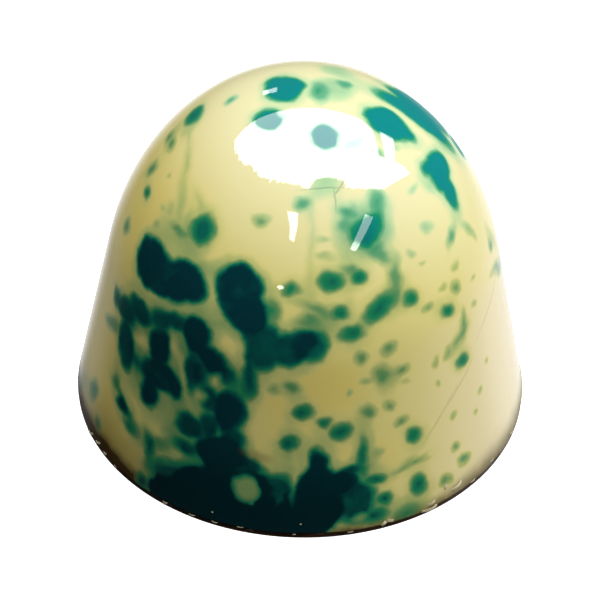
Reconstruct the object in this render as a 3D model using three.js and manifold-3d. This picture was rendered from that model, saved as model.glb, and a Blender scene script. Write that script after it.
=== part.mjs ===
// A moulded chocolate praline: a tall dome under a glossy coat of coloured cocoa butter, closed
// underneath by a layer of dark chocolate that shows as a thin uneven line round the foot.
// Millimetres, +Z up. The origin is the middle of the flat underside, and the front faces -Y.
import * as THREE from "three";
import { mergeVertices } from "three/addons/utils/BufferGeometryUtils.js";
import Module from "manifold-3d";

// Driving dimensions
const FOOT_DIAMETER = 28; // of the dome's wall, carried down to the table
const HEIGHT = 21.8;
const WALL_LEAN = THREE.MathUtils.degToRad(12.3); // draft that lets the sweet leave its mould
const CROWN_RISE = 15.1; // half height of the ellipse that the crown follows
const LAYER_THICKNESS = 0.38; // dark chocolate under the coat, on average
const COAT_THICKNESS = 0.07; // the coat stands this far proud of the dark layer
const FOOT_ROUNDING = 0.12; // worn lower edge of the dark layer
const SEAT_INSET = 1.4; // inside this ring the joint between dome and dark layer is level
const SEAT_GAP = 0.03; // hairline between the dome and the dark layer

// Fineness of the facets
const SEGMENTS = 96;
const WALL_ROWS = 4;
const CROWN_ROWS = 22;
const ROUNDING_ROWS = 3;

// The lower edge of the coat wanders up and down: waves round the foot, each with its height and start
const COAT_EDGE_WAVES = [
  { count: 1, height: 0.06, start: 0.3 },
  { count: 3, height: 0.05, start: 2.4 },
  { count: 8, height: 0.03, start: 1.1 },
  { count: 19, height: 0.02, start: 0.5 },
];

// Burrs of dark chocolate left round the foot by the scraper
const BURR_COUNT = 14;
const BURR_LENGTH = [0.5, 1.5];
const BURR_DEPTH = [0.1, 0.22];
const BURR_PROUD = 0.35; // share of a burr's depth that stands out of the foot
const BURR_CLEARANCE = 0.05; // under the coat's edge
const BALL_RADIUS = 0.5; // a ball 1 mm across, which each burr stretches to its own size
const BURR_JITTER = 0.7; // share of its own space in which a burr may move round the foot
const BURR_SIDES = 10;
const BURR_RINGS = 6;
const BURR_SEED = 11;

// The generator behind every seeded draw
const DRAW_MULTIPLIER = 16807;
const DRAW_MODULUS = 2147483647;

const COLOURS = {
  coat: new THREE.Color("#e6dca4"),
  darkChocolate: new THREE.Color("#2e170c"),
};
const COAT_ROUGHNESS = 0.12;
const CHOCOLATE_ROUGHNESS = 0.35;

const wasm = await Module();
wasm.setup();

const footRadius = FOOT_DIAMETER / 2;
const slope = Math.tan(WALL_LEAN);
const crownCentre = HEIGHT - CROWN_RISE;
// The wall is tangent to the crown's ellipse, which gives the ellipse's half width
const wallReach = footRadius - crownCentre * slope;
const crownHalfWidth = Math.sqrt(wallReach ** 2 - (CROWN_RISE * slope) ** 2);
const crownStart = Math.atan2(CROWN_RISE * slope, crownHalfWidth);
const crownFoot = crownCentre + CROWN_RISE * Math.sin(crownStart);

// Radius of the straight wall at a height
function wallRadius(z) {
  return footRadius - z * slope;
}

// Height of the coat's lower edge at an angle round the foot
function coatEdge(angle) {
  const wave = ({ count, height, start }) => height * Math.sin(count * angle + start);
  return COAT_EDGE_WAVES.reduce((sum, w) => sum + wave(w), LAYER_THICKNESS);
}

// A body of revolution whose rows may wander: each row gives [radius, height] at an angle
function revolve(rows) {
  const mean = rows.map((row) => new THREE.Vector2(...row(0)));
  const geometry = new THREE.LatheGeometry(mean, SEGMENTS);
  const position = geometry.getAttribute("position");
  for (let i = 0; i <= SEGMENTS; i++) {
    const angle = ((i % SEGMENTS) / SEGMENTS) * 2 * Math.PI;
    rows.forEach((row, j) => {
      const [radius, height] = row(angle);
      position.setXYZ(
        i * rows.length + j,
        radius * Math.sin(angle),
        height,
        radius * Math.cos(angle),
      );
    });
  }
  return geometry.rotateX(Math.PI / 2);
}

function layerRadius(z) {
  return wallRadius(z) - COAT_THICKNESS;
}

// The joint between the dome and the dark layer, from the axis out to the layer's rim
function seatRows(gap) {
  const level = LAYER_THICKNESS - gap;
  return [
    () => [0, level],
    () => [layerRadius(level) - SEAT_INSET, level],
    (angle) => [layerRadius(coatEdge(angle) - gap), coatEdge(angle) - gap],
  ];
}

// The coated dome: level underneath, a straight leaning wall, then the crown
function coatedDome() {
  const rows = seatRows(0);
  for (let i = 0; i <= WALL_ROWS; i++) {
    const share = i / WALL_ROWS;
    rows.push((angle) => {
      const z = THREE.MathUtils.lerp(coatEdge(angle), crownFoot, share);
      return [wallRadius(z), z];
    });
  }
  for (let i = 1; i <= CROWN_ROWS; i++) {
    const turn = THREE.MathUtils.lerp(crownStart, Math.PI / 2, i / CROWN_ROWS);
    const radius = i === CROWN_ROWS ? 0 : crownHalfWidth * Math.cos(turn);
    rows.push(() => [radius, crownCentre + CROWN_RISE * Math.sin(turn)]);
  }
  return revolve(rows);
}

// The layer of dark chocolate that closes the sweet, a little inside the coat, with a worn lower edge
function darkLayer() {
  const rows = [() => [0, 0]];
  for (let i = 0; i <= ROUNDING_ROWS; i++) {
    const turn = ((i / ROUNDING_ROWS) * Math.PI) / 2;
    const z = FOOT_ROUNDING * (1 - Math.cos(turn));
    rows.push(() => [layerRadius(z) - FOOT_ROUNDING * (1 - Math.sin(turn)), z]);
  }
  return revolve([...rows, ...seatRows(SEAT_GAP).reverse()]);
}

// A closed three.js geometry as a solid that can be joined
function toSolid(geometry) {
  const bare = geometry.clone();
  bare.deleteAttribute("normal");
  bare.deleteAttribute("uv");
  const merged = mergeVertices(bare);
  return new wasm.Manifold(
    new wasm.Mesh({
      numProp: 3,
      vertProperties: merged.getAttribute("position").array,
      triVerts: new Uint32Array(merged.index.array),
    }),
  );
}

function toGeometry(solid) {
  const { vertProperties, triVerts } = solid.getMesh();
  return new THREE.BufferGeometry()
    .setAttribute("position", new THREE.BufferAttribute(vertProperties, 3))
    .setIndex(new THREE.BufferAttribute(triVerts, 1));
}

// A seeded draw between 0 and 1, the same on every run
function seededDraw(seed) {
  let state = seed;
  return () => {
    state = (state * DRAW_MULTIPLIER) % DRAW_MODULUS;
    return state / DRAW_MODULUS;
  };
}

// Flat slivers pressed against the foot, unevenly spaced, all clear of the table and of the coat
function burrs() {
  const draw = seededDraw(BURR_SEED);
  const between = ([low, high]) => THREE.MathUtils.lerp(low, high, draw());
  return Array.from({ length: BURR_COUNT }, (_, i) => {
    const length = between(BURR_LENGTH);
    const depth = between(BURR_DEPTH);
    const angle = ((i + BURR_JITTER * draw()) / BURR_COUNT) * 2 * Math.PI;
    const top = coatEdge(angle) - BURR_CLEARANCE;
    const bottom = FOOT_ROUNDING / 2;
    const middle = (top + bottom) / 2;
    return new THREE.SphereGeometry(BALL_RADIUS, BURR_SIDES, BURR_RINGS)
      .scale(depth, length, top - bottom)
      .translate(layerRadius(middle) + (BURR_PROUD - BALL_RADIUS) * depth, 0, middle)
      .rotateZ(angle - Math.PI / 2);
  });
}

function scrapedLayer() {
  const joined = burrs().reduce(
    (solid, burr) => solid.add(toSolid(burr)),
    toSolid(darkLayer()),
  );
  return toGeometry(joined);
}

function piece(name, geometry, material) {
  const mesh = new THREE.Mesh(geometry, material);
  mesh.name = name;
  return mesh;
}

const coat = new THREE.MeshStandardMaterial({
  color: COLOURS.coat,
  roughness: COAT_ROUGHNESS,
});
const darkChocolate = new THREE.MeshStandardMaterial({
  color: COLOURS.darkChocolate,
  roughness: CHOCOLATE_ROUGHNESS,
});

const praline = new THREE.Group();
praline.add(piece("coated_dome", coatedDome(), coat));
praline.add(piece("dark_base", scrapedLayer(), darkChocolate));

export default praline;
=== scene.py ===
import bisect
import math
import random

import bmesh
import bpy
from mathutils import Matrix, Vector


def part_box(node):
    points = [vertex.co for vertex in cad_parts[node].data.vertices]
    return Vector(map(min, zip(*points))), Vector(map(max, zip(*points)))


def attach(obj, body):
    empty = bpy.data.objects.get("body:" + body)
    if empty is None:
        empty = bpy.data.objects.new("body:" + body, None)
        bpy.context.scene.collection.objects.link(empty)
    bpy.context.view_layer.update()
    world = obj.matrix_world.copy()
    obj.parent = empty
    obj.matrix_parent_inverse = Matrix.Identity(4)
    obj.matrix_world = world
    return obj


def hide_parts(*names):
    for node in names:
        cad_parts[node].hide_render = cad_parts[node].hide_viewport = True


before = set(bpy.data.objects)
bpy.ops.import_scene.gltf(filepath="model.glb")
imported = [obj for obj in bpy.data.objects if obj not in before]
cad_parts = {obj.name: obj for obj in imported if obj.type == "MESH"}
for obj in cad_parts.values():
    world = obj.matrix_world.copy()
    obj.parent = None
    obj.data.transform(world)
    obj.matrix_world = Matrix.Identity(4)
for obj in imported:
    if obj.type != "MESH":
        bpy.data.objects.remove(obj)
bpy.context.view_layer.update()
dome_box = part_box("coated_dome")

bl_info = {
    "name": "Spattered Praline",
    "version": (1, 0, 0),
    "blender": (4, 5, 0),
    "location": "3D View > Sidebar > Praline",
    "description": "Builds a moulded praline with a spattered glossy coat, and its studio",
    "category": "Object",
}

MM = 0.001

# Fineness of the meshes
AROUND = 192
WALL_ROWS = 24
CROWN_ROWS = 56
ROUNDING_ROWS = 4
WALK_STEPS = 600  # along the crown's outline, for the measuring of distances down from its top
SHARP_ANGLE = math.radians(50)  # edges that turn more than this stay sharp

# The lower edge of the coat wanders up and down: count round the foot, height in mm, start
COAT_EDGE_WAVES = ((1, 0.06, 0.3), (3, 0.05, 2.4), (8, 0.03, 1.1), (19, 0.02, 0.5))

# Burrs of dark chocolate round the foot, in mm
BURR_COUNT = 14
BURR_LENGTH = (0.5, 1.5)
BURR_DEPTH = (0.1, 0.22)
BURR_PROUD = 0.35
BURR_CLEARANCE = 0.05
BURR_JITTER = 0.7
BURR_SIDES = 20
BURR_RINGS = 12
BURR_SEED = 11
BALL_RADIUS = 0.5  # a ball 1 mm across, which each burr stretches to its own size
# The generator behind the burrs' draws
DRAW_MULTIPLIER = 16807
DRAW_MODULUS = 2147483647

# Spatter. A blot is (turn, down, across, along, lean): its middle, its full sizes in mm, and how far
# its lower end leans to the right, in degrees, if it leans. A stroke is (turn, down, turn, down,
# width): its ends and its width in mm.
POOLS = (
    # Two lobes high on the left
    (-54.1, 13.95, 3.1, 2.9), (-39.6, 13.6, 3.2, 2.4), (-47.5, 14.1, 2.6, 2.5), (-59, 13.5, 1.2, 1.4),
    (-42.5, 14.3, 2.6, 1.7),
    # The net on the left
    (-31, 16.2, 1.9, 2.2), (-42.6, 18.3, 1.7, 2.8), (-41, 20, 3, 2.1), (-43.9, 21.4, 1.5, 2.3),
    (-35.5, 20.3, 1.2, 1.4, 12),
    # The oval
    (-20.6, 12.8, 2.9, 2.8), (-17.6, 13.9, 2.6, 2.8, 20),
    # Down from the wide blot to the foot
    (-19.8, 20.5, 1.6, 2.6), (-20.3, 23.4, 3.2, 2.7), (-22, 26.6, 5.2, 4.2), (-13, 25.1, 3, 2.4),
    (-31, 27.6, 4, 3.2), (-9.5, 28.2, 5.5, 3.8), (0, 27.4, 4, 3.6), (-20.5, 24.9, 3, 1.6),
    (-7.6, 26.2, 1.5, 1.5),
    # The peak in the middle of the front
    (5.2, 23.6, 1.4, 2.9), (5, 24.6, 2.6, 2.8), (4, 26.2, 3.4, 4.2), (9, 24.6, 2.2, 1.6),
)
POOL_STROKES = (
    (-31.0, 16.9, -19.5, 18.1, 0.8),
)
BOLD_DROPS = (
    # The wide blot that the oval runs into
    (-14, 15, 1.8, 1.9), (-9.8, 16, 2.4, 2.9), (-3.5, 15.9, 2.4, 2.3), (0.6, 15.2, 1.6, 1.4),
    # Crown
    (73.6, 4.95, 2.25, 2.9), (16.6, 3.6, 1.8, 1.75), (-44, 3.1, 1.5, 1.6), (73.5, 8.8, 2.3, 1.9),
    (24, 9.75, 1.6, 1), (107, 7.4, 3.2, 3.4), (68, 8.3, 1.3, 0.9),
    # Wall
    (-59, 17.9, 2.3, 1.7), (-53, 17.1, 2.6, 1.7), (-56.8, 19.8, 2, 3.5, 14), (-29.7, 22.2, 2.2, 1.6),
    (-24.5, 21.7, 1.4, 1.8), (-24.8, 20, 1.3, 1.7), (-30.6, 18.6, 1.3, 3), (-18.2, 20.4, 1.9, 3.4),
    (-16.8, 22.2, 1.5, 2), (-53, 23.8, 1.3, 1.1), (12, 24.4, 1.7, 1.4), (69.8, 9.3, 1.5, 1.4),
    (13.5, 23.9, 1.6, 0.8),
)
BOLD_STROKES = (
    (-138, 2.35, -50, 1.45, 2.1), (74, 5.5, 76.5, 6.8, 0.7), (109.7, 4.2, 95.4, 9.8, 1.9),
    (122.6, 5.6, 106, 10.2, 2.5), (72, 9.3, 66.8, 11.3, 1.2), (-14.2, 14.8, -14, 18, 0.8),
    (33, 8.9, 18.3, 9.85, 1.3), (-49, 17, -32, 15.7, 1.25), (-31.5, 16.6, -17, 18.7, 1.5),
    (-17, 23.4, -8, 23.9, 1), (-8.5, 23.8, -8.6, 26.5, 0.9),
)
GREEN_DROPS = (
    (-39.5, 10.5, 1.6, 2, -12), (-95.9, 7.1, 1.6, 1.3), (14.5, 26, 2.8, 3), (18.5, 27.2, 1.9, 1.2),
    (18.3, 11.95, 1, 0.95), (14.2, 15.15, 1.45, 0.9), (11.8, 13.8, 1.05, 0.8), (-3.5, 12.4, 0.95, 0.6),
    (1.4, 19.8, 1.1, 1), (11, 21.15, 1.4, 1.15), (-2.4, 21.85, 1.1, 1.2), (-4.5, 25.4, 1.8, 1.4),
    (6.6, 20.45, 0.75, 0.65), (22, 26.3, 1.1, 1.1, -20), (19.5, 24.6, 1.3, 0.85),
    (-48.5, 24.6, 1.4, 0.8), (50.2, 19.4, 0.95, 0.85), (-73.6, 11.45, 0.9, 0.7),
    (-66.3, 17.8, 1.4, 1.3), (-13.8, 18.2, 1.2, 2.2), (-5, 24.9, 2.2, 2), (2.8, 15.7, 2.1, 2.3),
    (31.2, 26, 1.1, 1.6, 12), (34.2, 13.8, 0.95, 0.85), (46.3, 15.75, 1.05, 0.8), (31.4, 22.65, 1, 0.9),
    (9.3, 12, 1.35, 1.15), (-27.5, 18.7, 1.3, 1.9), (-41.5, 27.7, 1.5, 1.3),
)
GREEN_STROKES = (
    (30.2, 13.3, 18.8, 14.5, 1.05), (16.8, 21.9, 16.8, 24, 0.6), (-43, 24.1, -39, 26.5, 0.9),
    (17.5, 14.7, 12, 15.3, 0.6), (-54, 20.2, -46, 20.3, 0.8), (-34, 23.5, -27, 23.9, 1),
    (-57, 22.8, -46.5, 24.7, 0.7), (-41, 26.5, -26.5, 24.9, 1.5),
)
LIGHT_DROPS = (
    (18.3, 8.2, 1, 0.8), (27, 10.55, 0.9, 0.7), (-17.3, 8.85, 0.8, 0.6), (-93.7, 4.55, 0.75, 0.8),
    (-1.6, 7.6, 1.05, 0.9), (117, 2.36, 0.95, 0.9), (-84.5, 8.6, 1.1, 0.75), (15.5, 11.4, 0.8, 0.6),
    (52.7, 14.7, 0.85, 0.7), (40, 14.85, 0.7, 0.5), (-74.5, 14, 0.95, 0.85), (-9.4, 13.7, 1.3, 1.6),
    (-82, 10.5, 0.7, 0.9), (46.4, 26.05, 0.9, 0.8), (39.3, 26.6, 0.85, 0.75), (27.8, 21.35, 0.85, 0.75),
    (19, 20.15, 0.85, 0.9), (22.7, 17.9, 0.85, 1.3), (28.3, 18.05, 1, 0.7), (16.8, 16.65, 0.7, 0.8),
    (25.2, 16.5, 0.9, 0.7), (-6.6, 18.45, 0.6, 0.55), (-2, 18.25, 0.9, 0.8), (37.3, 4.6, 1.7, 0.9),
    (24.5, 20, 0.6, 0.6), (44, 24.85, 0.6, 0.6), (-49, 11.2, 1.3, 0.5), (-28, 24, 1.4, 1.6, 20),
    (-92, 9.1, 0.9, 0.7), (47, 5.7, 0.5, 0.9), (2, 14, 0.9, 0.6), (-57.5, 22.8, 0.9, 1.1),
    (-68.8, 25.3, 1.3, 1.9, -35), (-62.3, 26.8, 1, 1.1), (-79, 27.3, 1.2, 0.8), (78.8, 15.2, 1, 0.9),
    (27.5, 27.6, 1.9, 1.1),
)
LIGHT_STROKES = (
    (153, 1, 36.9, 1.3, 1), (24.5, 10.4, 30.3, 11.6, 0.7), (31.5, 11.4, 29.8, 13.6, 0.75),
    (61.5, 11.8, 54.5, 12.55, 0.75), (-0.5, 13.2, 8, 13.8, 0.5), (53.2, 16.5, 51.8, 17.8, 0.45),
    (25.5, 24.45, 29.5, 24, 0.3), (29, 24, 33.5, 24.3, 0.3), (33, 7.4, 33, 8.8, 0.9),
    (-70.5, 20.2, -61.5, 19.4, 1), (-43, 25, -33, 23.6, 0.8), (74, 16.6, 88, 18, 0.8),
)
FILMS = (
    (24, 9.4, 3.6, 3.2), (-2.5, 22.5, 1.2, 4), (6, 14.2, 2.6, 1.8), (-40, 19, 8, 7.4), (-28, 22, 6, 5),
    (-24, 15.2, 2.4, 1.2), (17, 23, 1.2, 4.5), (24.5, 18.4, 1.3, 1.6), (105, 1.6, 2.4, 2.4),
    (150, 3.4, 2.6, 2), (-57, 10.6, 1, 0.9), (27.5, 27.5, 2.4, 1.8), (-47, 11.6, 4, 1.6),
    (12, 6.4, 1.8, 0.8), (62, 9, 0.9, 0.5), (92, 8.6, 1.6, 2), (-33, 12.4, 2, 1.2),
    (-29, 14.6, 2.6, 1.2), (-50, 16, 4.4, 0.6), (-38, 24.6, 4, 1.6), (-50, 21.6, 1.6, 2),
)
FILM_STROKES = (
    (-95, 8.4, -84, 9.2, 0.9), (-92, 7.2, -70, 7.8, 0.5), (-73, 7.5, -60, 9, 0.7),
    (-63, 8.6, -46.5, 11.4, 1), (-52, 8.8, -41, 9.6, 0.5), (9, 5.6, 9, 7.4, 2), (15, 7.6, 15, 12, 0.6),
    (2.5, 7.4, 2.5, 11.5, 0.3), (-72, 25.6, -86, 27.2, 1.2), (80, 14.2, 86, 16.4, 1),
    (-50, 9.4, -41, 12.2, 0.8), (53, 17.6, 46, 18.3, 0.7), (-4, 18, 1, 18.8, 1),
    (-81, 10.2, -85, 11.4, 0.5),
)
SPECKS = (
    (38.5, 11.6, 0.7, 0.5), (55, 13.6, 0.8, 0.45), (47.3, 14.3, 0.6, 0.45), (44.3, 22.6, 0.65, 0.6),
    (40.5, 20, 0.5, 0.45), (40, 18.4, 0.6, 0.7), (55.5, 22.4, 0.5, 0.5), (53, 23.6, 0.4, 0.4),
    (59, 16.7, 0.5, 0.5), (18.3, 18.1, 0.7, 0.5), (13.7, 18.7, 0.5, 0.6), (21, 22.9, 0.8, 0.6),
    (52, 8.4, 0.9, 0.45), (49.5, 10.7, 1.2, 0.7), (45.3, 18.3, 0.7, 0.65), (68.5, 12.9, 0.8, 1.5, 30),
    (-61.5, 11, 0.5, 0.35), (-59.5, 12, 0.5, 0.4), (-70, 9.6, 0.5, 0.4), (30, 18.9, 0.5, 0.3),
    (7, 9.6, 0.7, 0.4), (8, 10.6, 0.9, 0.5), (42, 12.3, 0.5, 0.3), (62, 15.2, 0.5, 0.4),
    (19.5, 25.6, 0.5, 0.4), (16.5, 9, 0.8, 0.8), (35, 5.6, 0.8, 0.5), (61, 21, 0.4, 0.4),
)
SPECK_STROKES = (
    (53, 17.6, 46.5, 18.3, 0.5), (26, 24.5, 33, 24.1, 0.3), (55, 5.6, 61, 6.3, 0.4),
)
CLEAR_SPOTS = (
    (-12.8, 25.3, 1.7, 2.1), (-24, 18.6, 1.3, 0.7, 50), (-27.2, 20.1, 0.8, 0.8), (-50, 18.8, 1.5, 0.9),
    (15, 27.1, 0.8, 0.5),
)
CLEAR_STROKES = (
    (-39.5, 16.9, -34.8, 18.5, 0.6), (-35.8, 18.2, -30.3, 20.9, 0.5), (-0.9, 22.9, -1, 25.5, 0.3),
)
SMEARS = (
    (-11.6, 22.9, -9.0, 23.0, 0.2),
)
SCRATCHES = (
    (74.0, 17.4, 62.0, 18.5, 0.1), (52.0, 20.3, 43.0, 21.6, 0.12), (44.0, 21.3, 36.5, 22.8, 0.1),
)
CRACKS = (
    (20.5, 6.5, 16.5, 6.95, 0.07), (16.8, 6.9, 14.0, 7.2, 0.07), (14.0, 7.1, 13.7, 7.8, 0.06),
    (16.0, 6.85, 4.0, 6.8, 0.05),
)

# Each film of paint: its blots, its strokes, how thick it is at the edge and in the middle, from 0
# to 1, how soft its edge is, how far inside it is thickest, in mm, and how thick its halo is
PAINT = (
    (POOLS, POOL_STROKES, 0.82, 0.975, 0.42, 0.34, 0.14),
    (BOLD_DROPS, BOLD_STROKES, 0.68, 0.90, 0.42, 0.40, 0.12),
    (GREEN_DROPS, GREEN_STROKES, 0.54, 0.81, 0.42, 0.55, 0.08),
    (LIGHT_DROPS, LIGHT_STROKES, 0.28, 0.56, 0.5, 0.7, 0.04),
    (SPECKS, SPECK_STROKES, 0.14, 0.30, 0.4, 0.6, 0.01),
    (FILMS, FILM_STROKES, 0.12, 0.21, 0.9, 0.9, 0.02),
)
HALO_WIDTH = 0.9
CLEAR_EDGE = (-0.35, 0.2)  # where a clear spot fades into the paint, in mm outside its outline
CLEAR_SHARE = 0.32  # of the paint is left in a clear spot
# Marks in the coat: their strokes, blur in mm, opacity and colour
MARKS = (
    (SMEARS, 0.4, 0.4, "smear"),
    (SCRATCHES, 0.08, 0.22, "scratch"),
    (CRACKS, 0.06, 0.42, "crack"),
)
MERGE = 0.3  # how widely blots of one film run together, in mm
MARK_MERGE = 0.02
MARK_CORE = -0.03  # mm outside a mark's outline, where it is at its strongest
FARTHEST = 1.5  # distance from a blot beyond which it has no effect, in mm

# Spatter on the side that the photo doesn't show: how many blots of each film, and their sizes in mm
HIDDEN_TURN = (104.0, 256.0)
HIDDEN_DOWN = (8.0, 28.0)
HIDDEN_GATHERING = 0.7  # below 1, blots gather towards the foot
HIDDEN_STRETCH = (0.75, 1.3)
HIDDEN_LEAN = (-40, 40)
HIDDEN_PAINT = (
    (9, 1.8, 3.4), (10, 1.2, 2.2), (16, 0.7, 1.3), (22, 0.5, 1.1), (22, 0.4, 0.8), (8, 0.8, 1.8),
)
HIDDEN_SEED = 5

# Shavings and crumbs left on the foot: (turn, down, length, width, slant), in mm and degrees
FLAKES = (
    (42.8, 27.45, 0.85, 0.17, 16), (34.6, 27.66, 0.55, 0.16, 10), (34.0, 27.98, 1.0, 0.12, 0),
    (39.3, 27.1, 0.34, 0.2, 60), (23.2, 27.8, 0.4, 0.18, -20), (21.4, 27.9, 0.35, 0.2, 40),
    (-65.0, 27.98, 0.55, 0.13, 22), (-60.5, 27.85, 0.5, 0.12, 24), (-56.5, 27.95, 0.3, 0.12, 10),
    (-33.8, 28.04, 0.28, 0.10, 0), (-26.0, 28.05, 0.35, 0.04, 2), (-20.0, 28.02, 0.3, 0.05, -3),
    (-13.5, 27.92, 0.4, 0.04, 4), (-0.5, 28.0, 0.16, 0.06, 0), (-20.8, 27.38, 0.12, 0.09, 0),
    (1.0, 27.28, 0.12, 0.09, 0), (57.0, 27.75, 0.35, 0.08, 8), (69.0, 27.85, 0.4, 0.08, -6),
    (48.5, 27.9, 0.4, 0.07, 5), (13.0, 28.03, 0.3, 0.05, 3), (-51.5, 28.03, 0.2, 0.07, -8),
)
FLAKE_THICKNESS = 0.045
TUBE_SIDES = 60
TUBE_RADIUS = 1.0  # of the tube from which a shaving is cut, in mm
TUBE_CUT = 0.86  # height above the tube's axis at which it is cut, in mm
HIDDEN_FLAKES = 16
# Ranges of the hidden flakes' places and sizes: down, length, width and slant
HIDDEN_FLAKE_RANGES = ((27.2, 28.0), (0.25, 0.8), (0.09, 0.18), (-30, 30))

# Colours of the paint by its thickness, on the wall and on the crown, where painted light makes them
# lighter and bluer
WALL_PAINT = (
    (0.0, "cream"), (0.15, "film"), (0.36, "light_green"), (0.62, "green"), (0.82, "teal"), (0.97, "deep"),
)
CROWN_PAINT = (
    (0.0, "lit_crown_cream"), (0.15, "lit_crown_film"), (0.36, "lit_crown_light_green"), (0.62, "lit_crown_green"),
    (1.0, "lit_crown_teal"),
)

# Noise on the coat, as a scale for each mm and a strength. The first two bend the edges of the paint,
# by this many mm, and the mottle thins it.
BROAD_BENDS = (0.55, 0.8)
FINE_BENDS = (2.0, 0.2)
MOTTLE = (0.9, 0.16)
MARK_BENDS = 0.5  # share of the fine bends that marks follow
RIPPLE_SCALE = 1.3
RIPPLE_DEPTH = 0.000012  # in metres

# Fades over the coat: where each starts and ends, and its values there, if they aren't 0 and 1. They
# run over x to the right or z up, in mm, or over the thickness of the paint.
# Painted shade: the warm tint grows towards the shaded left, on top of the random warmer patches
WARM_NOISE = (0.16, 0.02)  # scale, and how much warmer each mm to the left is
WARM_PATCHES = (0.38, 0.66)
# Painted light: the cream turns paler low on the lit right side
LIT_RIGHT_ACROSS = (3.0, 14.0)
LIT_RIGHT_DOWN = (18.0, 8.0)
# Painted light: the cream turns paler towards the lit crown and its right side
PALE_TILT = 0.25  # how much each mm to the right counts as height
PALE_UP = (13.5, 21.0)
# Painted light: the paint turns lighter and bluer towards the lit crown, and thick paint at the top turns
# to the lit crown teal
CROWN_TILT = 0.3
CROWN_UP = (16.0, 20.0)
TEAL_TILT = 0.4
TEAL_UP = (19.6, 20.8)
TEAL_PAINT = (0.62, 0.85)
# Painted shade: thick paint is darkened low on the wall
LOW_SHADE_DOWN = (7.5, 1.5)
LOW_SHADE_PAINT = (0.7, 0.95)
LOW_SHADE_DARKNESS = 0.55
BARE_PAINT = (0.0, 0.12)
GLOSS_PAINT = (0.4, 0.85, 1.0, 0.38)
GLOSS_UP = (0.4, 1.8, 0.3, 1.0)

# Chocolate that shows through the thin coat at the foot, with painted shade: a rim all round, partly
# chocolate and partly painted shade, and a broader painted shade, deepest on the shaded left, which both
# fade upwards from a bottom to a height
RIM_BOTTOM = 0.15
RIM_HEIGHT = (16.0, 150.0, 1.0, 2.0)  # over the square of x
RIM_STRENGTH = (13.0, 2.0, 0.66, 0.85)
RIM_NOISE = 0.6
SHADE_BOTTOM = 0.2
# Painted shade: the broader shade reaches highest and is strongest on the shaded left
SHADE_HEIGHT = (4.0, -10.0, 2.6, 4.8)
SHADE_STRENGTH = (8.0, -10.0, 0.16, 0.56)
SHADE_NOISE = (0.5, 1.6)

# The dark layer's paler clouds and the scrape marks under it
BLOOM_LIGHT = 2.1
BLOOM_CLOUDS = (0.35, 0.7)
SCRAPE_TURN = 0.5
SCRAPE_STRETCH = (0.25, 3.2, 3.2)
SCRAPE_UP = (0.12, 0.02)
SCRAPE_DEPTH = 0.00008  # in metres
TAN_SHADE = 0.55  # of the darker patches on the shavings

# Outlines of the window and lamps that the polish mirrors, on a level plane overhead, as shares of
# the plane's height: to the right and away from the camera
MIRRORED = {
    "window": (
        (-0.85, 0.32), (-0.84, 0.49), (-0.71, 0.59), (-0.56, 0.66), (-0.21, 0.68), (0.31, 0.72),
        (0.58, 0.76), (0.75, 0.69), (0.80, 0.51), (0.86, 0.29), (0.97, 0.33), (0.89, 0.77),
        (1.18, 0.91), (1.19, 0.43), (1.45, 0.52), (1.67, 0.53), (1.29, 0.13), (1.04, -0.12),
        (0.75, -0.24), (0.47, -0.31), (0.40, -0.24), (0.12, -0.27), (0.04, -0.39), (-0.21, -0.32),
        (-0.41, -0.26), (-0.57, -0.11), (-0.76, 0.10),
    ),
    "slanting_lamp": ((0.84, -0.57), (1.01, -0.58), (0.96, -1.27), (0.82, -1.23)),
    "short_lamp": (
        (-0.22, -0.66), (-0.08, -0.68), (-0.10, -0.88), (-0.16, -1.14), (-0.22, -1.08), (-0.20, -0.86),
    ),
    "small_lamp": ((-0.76, -2.68), (-0.66, -2.57), (-0.55, -2.66), (-0.57, -2.82), (-0.70, -2.88)),
    "far_pane": ((-0.63, 1.85), (-0.42, 1.85), (-0.39, 1.47), (-0.58, 1.52)),
}
MIRRORED_HEIGHT = 0.4
RAGGED_FROM = 15  # corner from which the window's lower edge is ragged
RAGGED_STEPS = 7
RAGGED_DEPTH = 0.022

# What the wall mirrors: a table that grows bright in two steps towards a direction, each from, to and
# how bright, and that darkens towards the horizon
TABLE_TOWARDS = (0.35, 0.9)
TABLE_STEPS = ((0.40, 0.68, 0.65), (-0.05, 0.3, 0.35))
TABLE_DOWN = (-0.15, -0.48, 0.1, 1.0)

# Soft lamps: azimuth and elevation in degrees, and how bright each makes a white surface that faces it
SOFT_LAMPS = {
    "key": (60.0, 66.0, 1.01),
    "key_left": (-100.0, 66.0, 0.57),
    "right_wall": (105.0, -8.0, 0.52),
    "front_right": (45.0, -5.0, 0.10),
    "back_wall": (150.0, -14.0, 0.40),
    "left_wall": (-150.0, -14.0, 0.27),
}
LAMP_DISTANCE = 0.45
LAMP_SIZE = 0.34
LAMP_TARGET = (0, 0, 0.011)

FLOOR_SIZE = 12.0
FLOOR_GRID = 8
FLOOR_SHADE = 0.985  # darkest of the floor's faint clouds
FLOOR_GLOW = 0.95
CAMERA_TARGET = (-0.00014, 0, 0.00635)
SENSOR_WIDTH = 36.0


def length_property(name, description, default):
    return bpy.props.FloatProperty(
        name=name, description=description, default=default, unit="LENGTH", precision=5,
    )


def angle_property(name, description, degrees):
    return bpy.props.FloatProperty(
        name=name, description=description, default=math.radians(degrees), subtype="ANGLE",
    )


def number_property(name, description, default):
    return bpy.props.FloatProperty(name=name, description=description, default=default, min=0)


def colour_property(name, description, default):
    return bpy.props.FloatVectorProperty(
        name=name, description=description, default=default, subtype="COLOR", min=0, max=1,
    )


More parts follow.
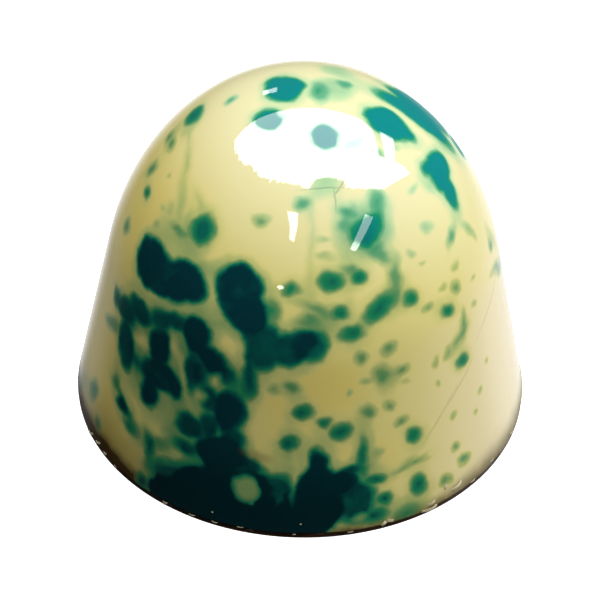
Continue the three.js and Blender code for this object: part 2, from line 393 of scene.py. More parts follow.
class PralineShape(bpy.types.PropertyGroup):
    """Sizes of the praline"""

    foot_diameter: length_property("Foot diameter", "Across the wall, carried down to the table", 0.028)
    height: length_property("Height", "From the table to the top of the crown", dome_box[1].z)
    wall_lean: angle_property("Wall lean", "Draft of the wall", 12.3)
    crown_rise: length_property("Crown rise", "Half height of the crown's ellipse", 0.0151)
    layer_thickness: length_property("Dark layer", "Average thickness under the coat", 0.00038)
    coat_thickness: length_property("Coat", "How far it stands proud of the dark layer", 0.00007)
    foot_rounding: length_property("Foot rounding", "Worn lower edge of the dark layer", 0.00012)
    seat_inset: length_property("Seat inset", "Ring inside which the dark layer's joint is level", 0.0014)
    seat_gap: length_property("Seat gap", "Hairline between the dome and the dark layer", 0.00003)


class PralineColours(bpy.types.PropertyGroup):
    """Colours and gloss of the praline"""

    cream: colour_property("Cream", "Bare coat", (0.80, 0.715, 0.24))
    # Partly real warmer patches, partly a painted shade tint towards the shaded left
    warm_and_shaded_cream: colour_property("Warm cream", "Warmer patches of the coat", (0.82, 0.68, 0.19))
    # Painted light: the cream's paler copy for the lit crown
    lit_crown_cream: colour_property("Pale cream", "The coat's paler crown", (0.83, 0.785, 0.45))
    # Painted light: the cream's paler copy for the lit lower right
    lit_right_cream: colour_property("Rosy cream", "The coat's right side", (0.83, 0.72, 0.44))
    film: colour_property("Film", "Thinnest paint on the wall", (0.50, 0.55, 0.185))
    light_green: colour_property("Light green", "Thin paint on the wall", (0.17, 0.34, 0.125))
    green: colour_property("Green", "Paint of a small drop", (0.018, 0.25, 0.10))
    # Painted light: lighter, bluer copies of the paint colours for the lit crown
    lit_crown_film: colour_property("Crown film", "Thinnest paint on the crown", (0.50, 0.70, 0.38))
    lit_crown_light_green: colour_property("Crown light green", "Thin paint on the crown", (0.15, 0.45, 0.25))
    lit_crown_green: colour_property("Crown green", "Paint of a small drop on the crown", (0.012, 0.29, 0.13))
    teal: colour_property("Teal", "Paint of a large drop", (0.003, 0.12, 0.09))
    deep: colour_property("Deep", "Paint of a pool", (0.0015, 0.036, 0.045))
    # Painted light: the lit copy of teal for large drops on the crown
    lit_crown_teal: colour_property("Crown teal", "Large drops on the crown", (0.004, 0.225, 0.22))
    scratch: colour_property("Scratch", "Faint scratches in the coat", (0.25, 0.25, 0.12))
    crack: colour_property("Crack", "Hairline cracks in the coat", (0.10, 0.16, 0.08))
    smear: colour_property("Smear", "Reddish smear in the paint", (0.22, 0.12, 0.03))
    # Partly chocolate through the thin coat, partly painted shade at the foot
    foot_chocolate_and_shade: colour_property("Foot brown", "Chocolate that shows at the foot", (0.055, 0.030, 0.009))
    flake: colour_property("Flake", "Shavings on the foot", (0.72, 0.64, 0.40))
    dark_chocolate: colour_property("Dark chocolate", "Layer under the coat", (0.024, 0.012, 0.006))
    gloss: number_property("Gloss roughness", "Roughness of the coat's polish", 0.03)


class PralineStudio(bpy.types.PropertyGroup):
    """Floor, light and camera"""

    floor_colour: colour_property("Floor", "Pale floor", (0.93, 0.93, 0.92))
    light: number_property("Light", "Brightness of the soft lamps", 1.0)
    mirrored: number_property("Mirrored light", "Brightness of the mirrored window and lamps", 16.0)
    table: number_property("Table", "Brightness of the table that the wall mirrors", 1.05)
    room: number_property("Room", "Brightness of the room's dark side", 0.02)
    camera_distance: length_property("Distance", "From the camera to its target", 0.130)
    camera_elevation: angle_property("Elevation", "Camera above the horizon", 39.97)
    camera_roll: angle_property("Roll", "Camera turned about its own axis", 1.53)
    lens: number_property("Lens", "Focal length in mm", 127.86)


class Profile:
    """The dome's outline in mm: a straight leaning wall under a crown that follows an ellipse."""

    def __init__(self, shape):
        self.foot_radius = shape.foot_diameter / MM / 2
        self.height = shape.height / MM
        self.rise = shape.crown_rise / MM
        self.slope = math.tan(shape.wall_lean)
        self.layer = shape.layer_thickness / MM
        self.coat = shape.coat_thickness / MM
        self.centre = self.height - self.rise
        reach = self.foot_radius - self.centre * self.slope
        self.half_width = math.sqrt(reach**2 - (self.rise * self.slope) ** 2)
        self.start = math.atan2(self.rise * self.slope, self.half_width)
        self.crown_foot = self.centre + self.rise * math.sin(self.start)
        self.walk = self.walk_down()

    def wall_radius(self, z):
        return self.foot_radius - z * self.slope

    def layer_radius(self, z):
        return self.wall_radius(z) - self.coat

    def coat_edge(self, angle):
        """Height of the coat's lower edge at an angle round the foot."""
        waves = (height * math.sin(count * angle + start) for count, height, start in COAT_EDGE_WAVES)
        return self.layer + sum(waves)

    def crown(self, share):
        """Radius and height on the crown, from its foot at 0 to its top at 1."""
        turn = self.start + share * (math.pi / 2 - self.start)
        return self.half_width * math.cos(turn), self.centre + self.rise * math.sin(turn)

    def walk_down(self):
        """Points of the outline from the top down, each with its distance from the top."""
        outline = [self.crown(1 - i / WALK_STEPS) for i in range(WALK_STEPS + 1)]
        outline.append((self.foot_radius, 0.0))
        walk = [(0.0, *outline[0])]
        for before, after in zip(outline, outline[1:]):
            walk.append((walk[-1][0] + math.dist(before, after), *after))
        return walk

    def place(self, turn, down):
        """Middle, rightward and downward directions of the surface at a place."""
        i = min(max(bisect.bisect_left(self.walk, (down,)), 1), len(self.walk) - 1)
        (s0, r0, z0), (s1, r1, z1) = self.walk[i - 1], self.walk[i]
        share = (down - s0) / (s1 - s0)
        radius, z = r0 + share * (r1 - r0), z0 + share * (z1 - z0)
        out, fall = (r1 - r0) / (s1 - s0), (z1 - z0) / (s1 - s0)
        a = math.radians(turn)
        middle = Vector((radius * math.sin(a), -radius * math.cos(a), z))
        right = Vector((math.cos(a), math.sin(a), 0))
        below = Vector((out * math.sin(a), -out * math.cos(a), fall))
        return middle, right, below


def blot_shape(profile, turn, down, across, along, lean=0.0):
    """Middle, axes and half sizes of a blot's ellipsoid."""
    middle, right, below = profile.place(turn, down)
    a = math.radians(lean)
    axis = below * math.cos(a) + right * math.sin(a)
    side = right * math.cos(a) - below * math.sin(a)
    return middle, side, axis, across / 2, along / 2


def stroke_shape(profile, turn, down, end_turn, end_down, width):
    """Middle, axes and half sizes of a stroke's ellipsoid."""
    start, end = profile.place(turn, down)[0], profile.place(end_turn, end_down)[0]
    axis = (end - start).normalized()
    middle = (start + end) / 2
    outward = Vector((middle.x, middle.y, middle.z - profile.centre)).normalized()
    side = axis.cross(outward).normalized()
    return middle, side, outward.cross(side), width / 2, (end - start).length / 2


class Value:
    """A socket of a node tree that takes part in Python arithmetic."""

    def __init__(self, tree, socket):
        self.tree = tree
        self.socket = socket

    @property
    def is_vector(self):
        return self.socket.type in {"VECTOR", "RGBA"}

    def __add__(self, other):
        return self.tree.sum("ADD", self, other)

    def __radd__(self, other):
        return self.tree.sum("ADD", other, self)

    def __sub__(self, other):
        return self.tree.sum("SUBTRACT", self, other)

    def __rsub__(self, other):
        return self.tree.sum("SUBTRACT", other, self)

    def __mul__(self, other):
        return self.tree.sum("MULTIPLY", self, other)

    def __rmul__(self, other):
        return self.tree.sum("MULTIPLY", other, self)


class Tree:
    """A node tree that is built by expressions."""

    def __init__(self, node_tree):
        self.nodes = node_tree.nodes
        self.links = node_tree.links
        self.nodes.clear()

    def add(self, kind, settings=None, inputs=None, output=0):
        """Adds a node of a type, with its settings first and then its sockets' values or links."""
        node = self.nodes.new(kind)
        for name, value in (settings or {}).items():
            if name == "stops":
                self.set_stops(node.color_ramp.elements, value)
            else:
                setattr(node, name, value)
        for name, value in (inputs or {}).items():
            if isinstance(value, Value):
                self.links.new(value.socket, node.inputs[name])
            else:
                node.inputs[name].default_value = value
        return Value(self, node.outputs[output]) if node.outputs else node

    @staticmethod
    def set_stops(elements, stops):
        while len(elements) < len(stops):
            elements.new(1.0)
        for element, (position, colour) in zip(elements, stops):
            element.position = position
            element.color = (*colour, 1.0)

    def sum(self, operation, left, right):
        """Math on numbers, Vector Math where either side is a vector."""
        vectors = [isinstance(v, tuple) or getattr(v, "is_vector", False) for v in (left, right)]
        if not any(vectors):
            return self.add("ShaderNodeMath", {"operation": operation}, {0: left, 1: right})
        if operation == "MULTIPLY" and not all(vectors):
            vector, number = (left, right) if vectors[0] else (right, left)
            inputs = {"Vector": vector, "Scale": number}
            return self.add("ShaderNodeVectorMath", {"operation": "SCALE"}, inputs)
        return self.add("ShaderNodeVectorMath", {"operation": operation}, {0: left, 1: right})

    def ramp(self, value, stops):
        """A colour that runs through stops, each a position and a colour."""
        stops = [(position, tuple(colour)) for position, colour in stops]
        return self.add("ShaderNodeValToRGB", {"stops": stops}, {"Fac": value})

    def mix(self, share, low, high):
        """A colour between two colours."""
        low, high = [c if isinstance(c, Value) else (*c, 1.0) for c in (low, high)]
        return self.add(
            "ShaderNodeMix", {"data_type": "RGBA"}, {"Factor": share, 6: low, 7: high}, output=2,
        )

    def ease(self, value, low, high, start=0.0, end=1.0):
        """Goes smoothly from start to end as the value goes from low to high."""
        return self.add(
            "ShaderNodeMapRange", {"interpolation_type": "SMOOTHSTEP"},
            {"Value": value, "From Min": low, "From Max": high, "To Min": start, "To Max": end},
        )

    def noise(self, place, scale, detail=2.0, roughness=0.5, output=0):
        return self.add(
            "ShaderNodeTexNoise", {},
            {"Vector": place, "Scale": scale, "Detail": detail, "Roughness": roughness}, output=output,
        )

    def parts(self, vector):
        """The three numbers of a vector."""
        split = self.nodes.new("ShaderNodeSeparateXYZ")
        self.links.new(vector.socket, split.inputs[0])
        return [Value(self, output) for output in split.outputs]


class Finish(Tree):
    """A node material on Object coordinates, in millimetres."""

    def __init__(self, name):
        self.material = bpy.data.materials.new(name)
        self.material.use_nodes = True
        super().__init__(self.material.node_tree)
        self.place = self.add("ShaderNodeTexCoord", output="Object") * (1 / MM)

    def bends(self, scale, strength):
        """Noise that moves a place by up to half of its strength each way."""
        return (self.noise(self.place, scale, 1.0, output="Color") - (0.5, 0.5, 0.5)) * strength

    def surface(self, inputs):
        shader = self.add("ShaderNodeBsdfPrincipled", {}, inputs)
        self.add("ShaderNodeOutputMaterial", {}, {"Surface": shader})
        return self.material


def distance_outside(tree, place, shape):
    """Distance outside an ellipsoid that stands for a blot, in mm, up to FARTHEST."""
    middle, side, axis, half_across, half_along = shape
    shorter = min(half_across, half_along)
    grown = (shorter + FARTHEST) / shorter
    sizes = [grown * half for half in (half_across, half_along, max(half_across, half_along))]
    turned = Matrix((side, axis, side.cross(axis))).transposed().to_euler()
    local = tree.add(
        "ShaderNodeMapping", {"vector_type": "TEXTURE"},
        {"Vector": place, "Location": middle, "Rotation": turned, "Scale": sizes},
    )
    inwards = tree.add(
        "ShaderNodeTexGradient", {"gradient_type": "SPHERICAL"}, {"Vector": local}, output="Fac",
    )
    return tree.add(
        "ShaderNodeMath", {"operation": "MULTIPLY_ADD"}, {0: inwards, 1: -shorter * grown, 2: FARTHEST},
    )


def nearest(tree, place, shapes, merge):
    """Distance outside the nearest of several blots, which run together where they are close."""
    found = None
    for shape in shapes:
        distance = distance_outside(tree, place, shape)
        found = distance if found is None else tree.add(
            "ShaderNodeMath", {"operation": "SMOOTH_MIN"}, {0: found, 1: distance, 2: merge},
        )
    return found


def shapes_of(profile, blots, strokes):
    return [blot_shape(profile, *b) for b in blots] + [stroke_shape(profile, *s) for s in strokes]


def hidden_blots(draw, count, smallest, largest):
    """Blots thrown over the side that faces away from the camera, denser towards the foot."""
    highest, lowest = HIDDEN_DOWN
    blots = []
    for _ in range(count):
        down = highest + (lowest - highest) * draw.random() ** HIDDEN_GATHERING
        size = draw.uniform(smallest, largest)
        along = size * draw.uniform(*HIDDEN_STRETCH)
        blots.append((draw.uniform(*HIDDEN_TURN), down, size, along, draw.uniform(*HIDDEN_LEAN)))
    return blots


def paint_thickness(tree, place, profile):
    """How thick the spatter is at a place, from 0 on the bare coat to 1 in a pool."""
    draw = random.Random(HIDDEN_SEED)
    bare = 1.0
    for (blots, strokes, edge, middle, softness, depth, halo), hidden in zip(PAINT, HIDDEN_PAINT):
        shapes = shapes_of(profile, (*blots, *hidden_blots(draw, *hidden)), strokes)
        distance = nearest(tree, place, shapes, MERGE)
        around = tree.ease(distance, HALO_WIDTH, 0.0, 1.0, 1.0 - halo)
        at_edge = tree.ease(distance, softness / 2, -softness / 2, 1.0, (1.0 - edge) / (1.0 - halo))
        inside = tree.ease(distance, 0.0, -depth, 1.0, (1.0 - middle) / (1.0 - edge))
        bare = bare * (around * at_edge * inside)
    gap = nearest(tree, place, shapes_of(profile, CLEAR_SPOTS, CLEAR_STROKES), MERGE)
    return (1.0 - bare) * tree.ease(gap, *CLEAR_EDGE, CLEAR_SHARE, 1.0)


def cream_colour(f, x, z, colours):
    """The bare coat, with warmer patches, a painted shade tint that warms it towards the left, and painted
    light that makes it paler and rosier on the lower right and paler on the crown.
    """
    scale, shade_leftwards = WARM_NOISE
    # Random warmer patches, plus a painted shade tint that grows towards the shaded left
    warmth = f.ease(f.noise(f.place, scale, 1.0) - x * shade_leftwards, *WARM_PATCHES)
    cream = f.mix(warmth, colours.cream, colours.warm_and_shaded_cream)
    # Painted light: paler cream low on the lit right side
    cream = f.mix(f.ease(x, *LIT_RIGHT_ACROSS) * f.ease(z, *LIT_RIGHT_DOWN), cream, colours.lit_right_cream)
    # Painted light: paler cream on the lit crown
    return f.mix(f.ease(z + x * PALE_TILT, *PALE_UP), cream, colours.lit_crown_cream)


def paint_colour(f, thickness, x, z, colours):
    """The paint, with painted light that makes it bluer and lighter on the crown, and painted shade that
    makes thick paint darkest low on the wall.
    """
    wall, crown = [
        f.ramp(thickness, [(position, getattr(colours, name)) for position, name in paint])
        for paint in (WALL_PAINT, CROWN_PAINT)
    ]
    # Painted light: lighter, bluer paint on the lit crown
    paint = f.mix(f.ease(z + x * CROWN_TILT, *CROWN_UP), wall, crown)
    teal = f.ease(z + x * TEAL_TILT, *TEAL_UP) * f.ease(thickness, *TEAL_PAINT)
    paint = f.mix(teal, paint, colours.lit_crown_teal)
    # Painted shade: thick paint darker low on the wall
    low_shade = f.ease(z, *LOW_SHADE_DOWN) * f.ease(thickness, *LOW_SHADE_PAINT)
    return f.mix(low_shade, paint, [LOW_SHADE_DARKNESS * c for c in colours.deep])


def foot_shade(f, thickness, mottle, x, z):
    """How far the chocolate and painted shade show at the foot, from 0 to 1: a rim, partly chocolate
    through the thin coat and partly painted shade, and a broader painted shade on the left.
    """
    rim_place = z + (mottle - 0.5) * RIM_NOISE
    rim = 1.0 - f.ease(rim_place, RIM_BOTTOM, f.ease(x * x, *RIM_HEIGHT))
    scale, strength = SHADE_NOISE
    shade_place = z + (f.noise(f.place, scale, 2.0) - 0.5) * strength
    shade = 1.0 - f.ease(shade_place, SHADE_BOTTOM, f.ease(x, *SHADE_HEIGHT))
    chocolate_and_shade = rim * f.ease(x, *RIM_STRENGTH) + shade * f.ease(x, *SHADE_STRENGTH)
    return f.add("ShaderNodeClamp", {}, {"Value": chocolate_and_shade * (1.0 - thickness)})


def coat_finish(profile, colours):
    """Cream cocoa butter, spattered with green, thinning to the chocolate at the foot, with painted light
    on the crown and lower right and painted shade low on the wall, at the foot and on the left.
    """
    f = Finish("spattered_coat")
    x, y, z = f.parts(f.place)
    broad, fine = f.bends(*BROAD_BENDS), f.bends(*FINE_BENDS)
    scale, strength = MOTTLE
    mottle = f.noise(f.place, scale, 2.0)
    thickness = paint_thickness(f, f.place + broad + fine, profile)
    thickness = thickness * (1.0 - strength / 2 + mottle * strength)
    colour = f.mix(
        f.ease(thickness, *BARE_PAINT), cream_colour(f, x, z, colours),
        paint_colour(f, thickness, x, z, colours),
    )
    marked = f.place + fine * MARK_BENDS
    for strokes, blur, opacity, tint in MARKS:
        mark = nearest(f, marked, shapes_of(profile, (), strokes), MARK_MERGE)
        colour = f.mix(f.ease(mark, blur, MARK_CORE, 0.0, opacity), colour, getattr(colours, tint))
    # Chocolate through the thin coat and painted shade at the foot
    colour = f.mix(foot_shade(f, thickness, mottle, x, z), colour, colours.foot_chocolate_and_shade)
    ripple = f.noise(f.place, RIPPLE_SCALE, 2.0)
    bump = f.add("ShaderNodeBump", {}, {"Strength": 1.0, "Distance": RIPPLE_DEPTH, "Height": ripple})
    return f.surface({
        "Base Color": colour, "Roughness": 0.5, "Specular IOR Level": 0.0,
        "Coat Weight": f.ease(thickness, *GLOSS_PAINT) * f.ease(z, *GLOSS_UP),
        "Coat Roughness": colours.gloss, "Coat IOR": 1.5, "Normal": bump,
    })


def chocolate_finish(colours):
    """Dark chocolate, satin, scraped underneath."""
    f = Finish("scraped_dark_chocolate")
    height = f.parts(f.place)[2]
    cloud = f.noise(f.place, 0.9, 3.0)
    stretched = f.add(
        "ShaderNodeMapping", {},
        {"Vector": f.place, "Rotation": (0, 0, SCRAPE_TURN), "Scale": SCRAPE_STRETCH},
    )
    scrape = f.noise(stretched, 1.2, 4.0, 0.6)
    bloom = [BLOOM_LIGHT * c for c in colours.dark_chocolate]
    clouds = f.ease(cloud * 0.6 + scrape * 0.4, *BLOOM_CLOUDS)
    colour = f.mix(clouds, colours.dark_chocolate, bloom)
    relief = scrape * f.ease(height, *SCRAPE_UP) + cloud * 0.4
    bump = f.add("ShaderNodeBump", {}, {"Strength": 0.5, "Distance": SCRAPE_DEPTH, "Height": relief})
    return f.surface({
        "Base Color": colour, "Roughness": f.ease(scrape, 0.3, 0.7, 0.28, 0.45),
        "Specular IOR Level": 0.3, "Coat Weight": 0.08, "Coat Roughness": 0.2, "Normal": bump,
    })


def flake_finish(colours):
    """The cream of the coat, where it was shaved off."""
    f = Finish("shaved_coat")
    tan = [TAN_SHADE * c for c in colours.flake]
    colour = f.mix(f.noise(f.place, 1.4, 2.0), tan, colours.flake)
    return f.surface({
        "Base Color": colour, "Roughness": 0.4, "Coat Weight": 0.6, "Coat Roughness": 0.15,
    })


def add_object(name, data):
    """A new object in the scene, round data that is already made."""
    made = bpy.data.objects.new(name, data)
    bpy.context.scene.collection.objects.link(made)
    return made


def select_only(pieces):
    """Selects pieces and nothing else, with the first as the active one."""
    bpy.ops.object.select_all(action="DESELECT")
    for piece in pieces:
        piece.select_set(True)
    bpy.context.view_layer.objects.active = pieces[0]


def start_ring(name, radius, z):
    """Starts a piece as a level ring round the axis, in edit mode with the ring selected."""
    bpy.ops.object.select_all(action="DESELECT")
    bpy.ops.mesh.primitive_circle_add(vertices=AROUND, radius=radius * MM, location=(0, 0, 0))
    piece = bpy.context.object
    piece.name = piece.data.name = name
    bpy.ops.object.mode_set(mode="EDIT")
    bpy.ops.transform.translate(value=(0, 0, z * MM))
    return piece


def next_ring(now, radius, z):
    """Extrudes the selected ring to a level ring of another radius and height."""
    bpy.ops.mesh.extrude_edges_move()
    ratio = radius / now[0]
    bpy.ops.transform.resize(value=(ratio, ratio, 0), center_override=(0, 0, now[1] * MM))
    bpy.ops.transform.translate(value=(0, 0, (z - now[1]) * MM))
    return radius, z


def wander_ring(piece, heights):
    """Lifts each vertex of the selected ring by a height worked out from its angle."""
    mesh = bmesh.from_edit_mesh(piece.data)
    ring = [v for v in mesh.verts if v.select]
    for vertex in ring:
        vertex.co.z += heights(math.atan2(vertex.co.x, -vertex.co.y)) * MM
    bmesh.update_edit_mesh(piece.data)


def close_ring():
    """Extrudes the selected ring and gathers it into one point on the axis."""
    bpy.ops.mesh.extrude_edges_move()
    bpy.ops.mesh.merge(type="CENTER")


def select_ring(piece, z_low, z_high):
    """Selects the open edge of a piece that lies between two heights."""
    bpy.ops.mesh.select_all(action="DESELECT")
    mesh = bmesh.from_edit_mesh(piece.data)
    for edge in mesh.edges:
        middle = (edge.verts[0].co.z + edge.verts[1].co.z) / 2 / MM
        edge.select_set(edge.is_boundary and z_low <= middle <= z_high)
    mesh.select_flush_mode()
    bmesh.update_edit_mesh(piece.data)


def finish_mesh():
    """Merges doubles, turns the faces out and smooths the piece that is in edit mode."""
    bpy.ops.mesh.select_all(action="SELECT")
    bpy.ops.mesh.remove_doubles(threshold=1e-7)
    bpy.ops.mesh.normals_make_consistent(inside=False)
    bpy.ops.object.mode_set(mode="OBJECT")
    bpy.ops.object.shade_smooth_by_angle(angle=SHARP_ANGLE)


class PRALINE_OT_coated_dome(bpy.types.Operator):
    """Models the coated dome, from the wavy lower edge of the coat to the top of the crown"""

    bl_idname = "praline.coated_dome"
    bl_label = "Coated dome"

    def execute(self, context):
        shape, colours = context.scene.praline_shape, context.scene.praline_colours
        profile = Profile(shape)
        edge = profile.layer
        piece = start_ring("spattered_dome", profile.wall_radius(edge), edge)
        wander_ring(piece, lambda angle: profile.coat_edge(angle) - edge)
        now = (profile.wall_radius(edge), edge)
        for i in range(1, WALL_ROWS + 1):
            z = edge + (profile.crown_foot - edge) * i / WALL_ROWS
            now = next_ring(now, profile.wall_radius(z), z)
        for i in range(1, CROWN_ROWS):
            now = next_ring(now, *profile.crown(i / CROWN_ROWS))
        bpy.ops.mesh.extrude_edges_move()
        bpy.ops.transform.translate(value=(0, 0, (profile.height - now[1]) * MM))
        bpy.ops.mesh.merge(type="CENTER")
        select_ring(piece, 0, 1)
        inner = profile.layer_radius(edge)
        bpy.ops.mesh.extrude_edges_move()
        ratio = inner / profile.wall_radius(edge)
        bpy.ops.transform.resize(value=(ratio, ratio, 1), center_override=(0, 0, 0))
        next_ring((inner, edge), inner - shape.seat_inset / MM, edge)
        close_ring()
        finish_mesh()
        piece.data.materials.append(coat_finish(profile, colours))
        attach(piece, "root")
        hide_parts("coated_dome")
        return {"FINISHED"}


def seeded_draw(seed):
    """Draws between 0 and 1 in a fixed order."""
    state = seed
    while True:
        state = state * DRAW_MULTIPLIER % DRAW_MODULUS
        yield state / DRAW_MODULUS


def add_burrs(profile, rounding):
    """Slivers of dark chocolate pressed against the foot, each a flattened ball."""
    draw = seeded_draw(BURR_SEED)
    burrs = []
    for i in range(BURR_COUNT):
        length = BURR_LENGTH[0] + (BURR_LENGTH[1] - BURR_LENGTH[0]) * next(draw)
        depth = BURR_DEPTH[0] + (BURR_DEPTH[1] - BURR_DEPTH[0]) * next(draw)
        angle = (i + BURR_JITTER * next(draw)) / BURR_COUNT * 2 * math.pi
        top = profile.coat_edge(angle) - BURR_CLEARANCE
        bottom = rounding / 2
        middle = (top + bottom) / 2
        out = profile.layer_radius(middle) + (BURR_PROUD - BALL_RADIUS) * depth
        place = Vector((out * math.sin(angle), -out * math.cos(angle), middle))
        bpy.ops.mesh.primitive_uv_sphere_add(
            segments=BURR_SIDES, ring_count=BURR_RINGS, radius=BALL_RADIUS * MM,
            location=place * MM, rotation=(0, 0, angle), scale=(length, depth, top - bottom),
        )
        burrs.append(bpy.context.object)
    return burrs


class PRALINE_OT_dark_base(bpy.types.Operator):
    """Models the layer of dark chocolate under the coat, with its worn edge and burrs"""

    bl_idname = "praline.dark_base"
    bl_label = "Dark base"

    def execute(self, context):
        shape, colours = context.scene.praline_shape, context.scene.praline_colours
        profile = Profile(shape)
        rounding, gap = shape.foot_rounding / MM, shape.seat_gap / MM
        now = (profile.layer_radius(0) - rounding, 0)
        piece = start_ring("scraped_base", *now)
        for i in range(1, ROUNDING_ROWS + 1):
            turn = i / ROUNDING_ROWS * math.pi / 2
            z = rounding * (1 - math.cos(turn))
            now = next_ring(now, profile.layer_radius(z) - rounding * (1 - math.sin(turn)), z)
        top = profile.layer - gap
        now = next_ring(now, profile.layer_radius(top), top)
        wander_ring(piece, lambda angle: profile.coat_edge(angle) - profile.layer)
        next_ring(now, now[0] - shape.seat_inset / MM, top)
        close_ring()
        select_ring(piece, -0.01, 0.01)
        close_ring()
        finish_mesh()
        select_only([piece, *add_burrs(profile, rounding)])
        bpy.ops.object.join()
        bpy.ops.object.shade_smooth_by_angle(angle=SHARP_ANGLE)
        piece.data.materials.clear()
        piece.data.materials.append(chocolate_finish(colours))
        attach(piece, "root")
        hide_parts("dark_base")
        return {"FINISHED"}


def add_shaving():
    """A thin curled strip 1 mm long, 1 mm wide and FLAKE_THICKNESS thick, cut from a tube."""
    bpy.ops.object.select_all(action="DESELECT")
    bpy.ops.mesh.primitive_cylinder_add(
        vertices=TUBE_SIDES, radius=TUBE_RADIUS * MM, depth=1.0 * MM, end_fill_type="NOTHING",
        rotation=(math.pi / 2, 0, 0),
    )
    piece = bpy.context.object
    bpy.ops.object.transform_apply(location=False, rotation=True, scale=False)
    bpy.ops.object.mode_set(mode="EDIT")
    bpy.ops.mesh.select_all(action="SELECT")
    bpy.ops.mesh.bisect(plane_co=(0, 0, TUBE_CUT * MM), plane_no=(0, 0, 1), clear_inner=True)
    bpy.ops.mesh.select_all(action="SELECT")
    bpy.ops.transform.translate(value=(0, 0, -TUBE_CUT * MM))
    bpy.ops.object.mode_set(mode="OBJECT")
    solid = piece.modifiers.new("thickness", "SOLIDIFY")
    solid.thickness = FLAKE_THICKNESS * MM
    bpy.ops.object.modifier_apply(modifier=solid.name)
    return piece


def hidden_flakes():
    """Shavings on the side of the foot that faces away from the camera."""
    draw = random.Random(HIDDEN_SEED)
    ranges = (HIDDEN_TURN, *HIDDEN_FLAKE_RANGES)
    return [[draw.uniform(*limits) for limits in ranges] for _ in range(HIDDEN_FLAKES)]


class PRALINE_OT_foot_flakes(bpy.types.Operator):
    """Lays small curled shavings and crumbs of the coat along the foot"""

    bl_idname = "praline.foot_flakes"
    bl_label = "Foot flakes"

    def execute(self, context):
        profile = Profile(context.scene.praline_shape)
        shaving = add_shaving()
        copies = []
        for turn, down, length, width, slant in (*FLAKES, *hidden_flakes()):
            middle, right, below = profile.place(turn, down)
            a = math.radians(slant)
            along = right * math.cos(a) - below * math.sin(a)
            out = right.cross(-below)
            copy = add_object("flake", shaving.data.copy())
            turned = Matrix((along, out.cross(along), out)).transposed().to_4x4()
            size = Matrix.Diagonal((length, width, length, 1))
            copy.matrix_world = Matrix.Translation(middle * MM) @ turned @ size
            copies.append(copy)
        bpy.data.objects.remove(shaving)
        piece = copies[0]
        select_only(copies)
        bpy.ops.object.transform_apply(location=True, rotation=True, scale=True)
        bpy.ops.object.join()
        piece.name = piece.data.name = "foot_flakes"
        bpy.ops.object.mode_set(mode="EDIT")
        finish_mesh()
        piece.data.materials.append(flake_finish(context.scene.praline_colours))
        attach(piece, "root")
        return {"FINISHED"}


def direction(azimuth, elevation):
    """Direction from the praline, turned from the front to the right and raised, in degrees."""
    a, e = math.radians(azimuth), math.radians(elevation)
    return Vector((math.sin(a) * math.cos(e), -math.cos(a) * math.cos(e), math.sin(e)))


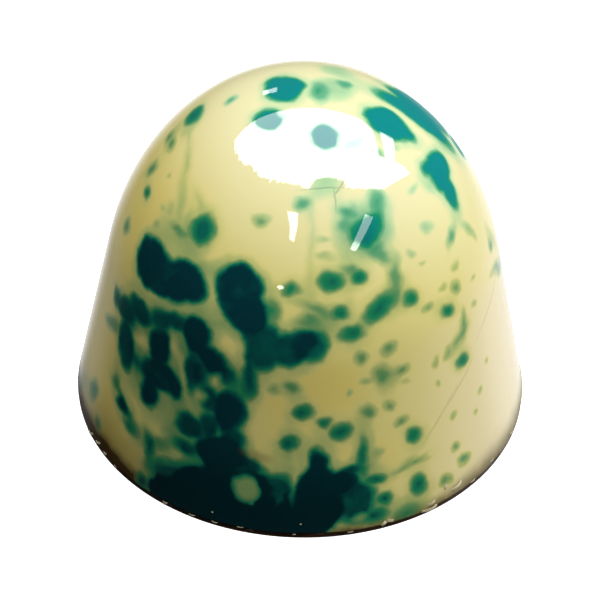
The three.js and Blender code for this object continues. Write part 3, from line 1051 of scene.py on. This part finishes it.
class PRALINE_OT_studio(bpy.types.Operator):
    """Makes the floor, the light and the camera"""

    bl_idname = "praline.studio"
    bl_label = "Studio"

    def execute(self, context):
        studio = context.scene.praline_studio
        self.add_floor(studio)
        self.add_room(context, studio)
        self.add_mirrored(studio)
        self.add_soft_lamps(studio)
        self.add_camera(context, studio)
        context.scene.view_settings.view_transform = "Standard"
        return {"FINISHED"}

    def add_floor(self, studio):
        bpy.ops.object.select_all(action="DESELECT")
        bpy.ops.mesh.primitive_grid_add(
            x_subdivisions=FLOOR_GRID, y_subdivisions=FLOOR_GRID, size=FLOOR_SIZE, location=(0, 0, 0),
        )
        floor = bpy.context.object
        floor.name = floor.data.name = "floor"
        f = Finish("pale_floor")
        shade = [FLOOR_SHADE * c for c in studio.floor_colour]
        colour = f.mix(f.noise(f.place, 0.05, 3.0), shade, studio.floor_colour)
        f.surface({
            "Base Color": colour, "Roughness": 0.7, "Specular IOR Level": 0.1,
            "Emission Color": (1.0, 1.0, 1.0, 1.0), "Emission Strength": FLOOR_GLOW,
        })
        floor.data.materials.append(f.material)
        floor.visible_diffuse = floor.visible_glossy = floor.visible_shadow = False

    def add_room(self, context, studio):
        """Surroundings for the polish: a bright table behind and to the right, a dark room in front."""
        world = bpy.data.worlds.new("room")
        context.scene.world = world
        world.use_nodes = True
        world.cycles_visibility.diffuse = False
        tree = Tree(world.node_tree)
        x, y, z = tree.parts(tree.add("ShaderNodeTexCoord", output="Generated"))
        behind = x * TABLE_TOWARDS[0] + y * TABLE_TOWARDS[1]
        far, near = [tree.ease(behind, low, high, 0.0, share) for low, high, share in TABLE_STEPS]
        table = (far + near) * tree.ease(z, *TABLE_DOWN)
        bright = table * (studio.table - studio.room) + studio.room
        room = tree.add("ShaderNodeBackground", {}, {"Color": (1, 1, 1, 1), "Strength": bright})
        tree.add("ShaderNodeOutputWorld", {}, {"Surface": room})

    def add_mirrored(self, studio):
        """Glowing panes overhead, which only the polish shows."""
        data = bpy.data.meshes.new("mirrored_panes")
        outlines = [self.ragged(MIRRORED["window"]), *list(MIRRORED.values())[1:]]
        corners = [(x, y, 1.0) for outline in outlines for x, y in outline]
        faces, first = [], 0
        for outline in outlines:
            faces.append(range(first, first + len(outline)))
            first += len(outline)
        data.from_pydata([Vector(c) * MIRRORED_HEIGHT for c in corners], [], faces)
        panes = add_object("mirrored_panes", data)
        f = Finish("glowing_pane")
        glow = f.add("ShaderNodeEmission", {}, {"Color": (1, 1, 1, 1), "Strength": studio.mirrored})
        f.add("ShaderNodeOutputMaterial", {}, {"Surface": glow})
        data.materials.append(f.material)
        panes.visible_camera = panes.visible_diffuse = panes.visible_shadow = False

    @staticmethod
    def ragged(outline):
        """The outline with its edge from one corner onwards broken into small uneven steps."""
        draw = random.Random(HIDDEN_SEED)
        broken = list(outline[:RAGGED_FROM])
        ends = (*outline[RAGGED_FROM + 1:], outline[0])
        for (x, y), (next_x, next_y) in zip(outline[RAGGED_FROM:], ends):
            for step in range(RAGGED_STEPS):
                share = step / RAGGED_STEPS
                shift = draw.uniform(-RAGGED_DEPTH, RAGGED_DEPTH)
                broken.append((x + share * (next_x - x) + shift, y + share * (next_y - y) + shift))
        return broken

    def add_soft_lamps(self, studio):
        target = Vector(LAMP_TARGET)
        for name, (azimuth, elevation, strength) in SOFT_LAMPS.items():
            data = bpy.data.lights.new(name, "AREA")
            data.shape = "DISK"
            data.size = LAMP_SIZE
            data.energy = studio.light * strength * (math.pi * LAMP_DISTANCE) ** 2
            lamp = add_object(name, data)
            away = direction(azimuth, elevation)
            lamp.location = target + away * LAMP_DISTANCE
            lamp.rotation_euler = (-away).to_track_quat("-Z", "Y").to_euler()
            lamp.visible_glossy = False

    def add_camera(self, context, studio):
        data = bpy.data.cameras.new("camera")
        data.lens = studio.lens
        data.sensor_width = SENSOR_WIDTH
        data.clip_start = 0.01
        camera = add_object("camera", data)
        back = direction(0, math.degrees(studio.camera_elevation))
        place = Matrix.Translation(Vector(CAMERA_TARGET) + back * studio.camera_distance)
        look = (-back).to_track_quat("-Z", "Y").to_matrix().to_4x4()
        camera.matrix_world = place @ look @ Matrix.Rotation(studio.camera_roll, 4, "Z")
        context.scene.camera = camera


class PRALINE_PT_panel(bpy.types.Panel):
    """Sizes, colours and steps of the praline"""

    bl_idname = "PRALINE_PT_panel"
    bl_label = "Praline"
    bl_space_type = "VIEW_3D"
    bl_region_type = "UI"
    bl_category = "Praline"

    def draw(self, context):
        scene = context.scene
        for group in (scene.praline_shape, scene.praline_colours, scene.praline_studio):
            box = self.layout.box()
            for name in group.__annotations__:
                box.prop(group, name)
        for operator in OPERATORS:
            self.layout.operator(operator.bl_idname)


OPERATORS = (PRALINE_OT_coated_dome, PRALINE_OT_dark_base, PRALINE_OT_foot_flakes, PRALINE_OT_studio)
GROUPS = {
    "praline_shape": PralineShape,
    "praline_colours": PralineColours,
    "praline_studio": PralineStudio,
}


def register():
    for group in GROUPS.values():
        bpy.utils.register_class(group)
    for name, group in GROUPS.items():
        setattr(bpy.types.Scene, name, bpy.props.PointerProperty(type=group))
    for cls in (*OPERATORS, PRALINE_PT_panel):
        bpy.utils.register_class(cls)


def unregister():
    for cls in (PRALINE_PT_panel, *reversed(OPERATORS)):
        bpy.utils.unregister_class(cls)
    for name, group in GROUPS.items():
        delattr(bpy.types.Scene, name)
        bpy.utils.unregister_class(group)


def main():
    register()
    bpy.ops.praline.coated_dome()
    bpy.ops.praline.dark_base()
    bpy.ops.praline.foot_flakes()
    bpy.ops.praline.studio()


if __name__ == "__main__":
    main()
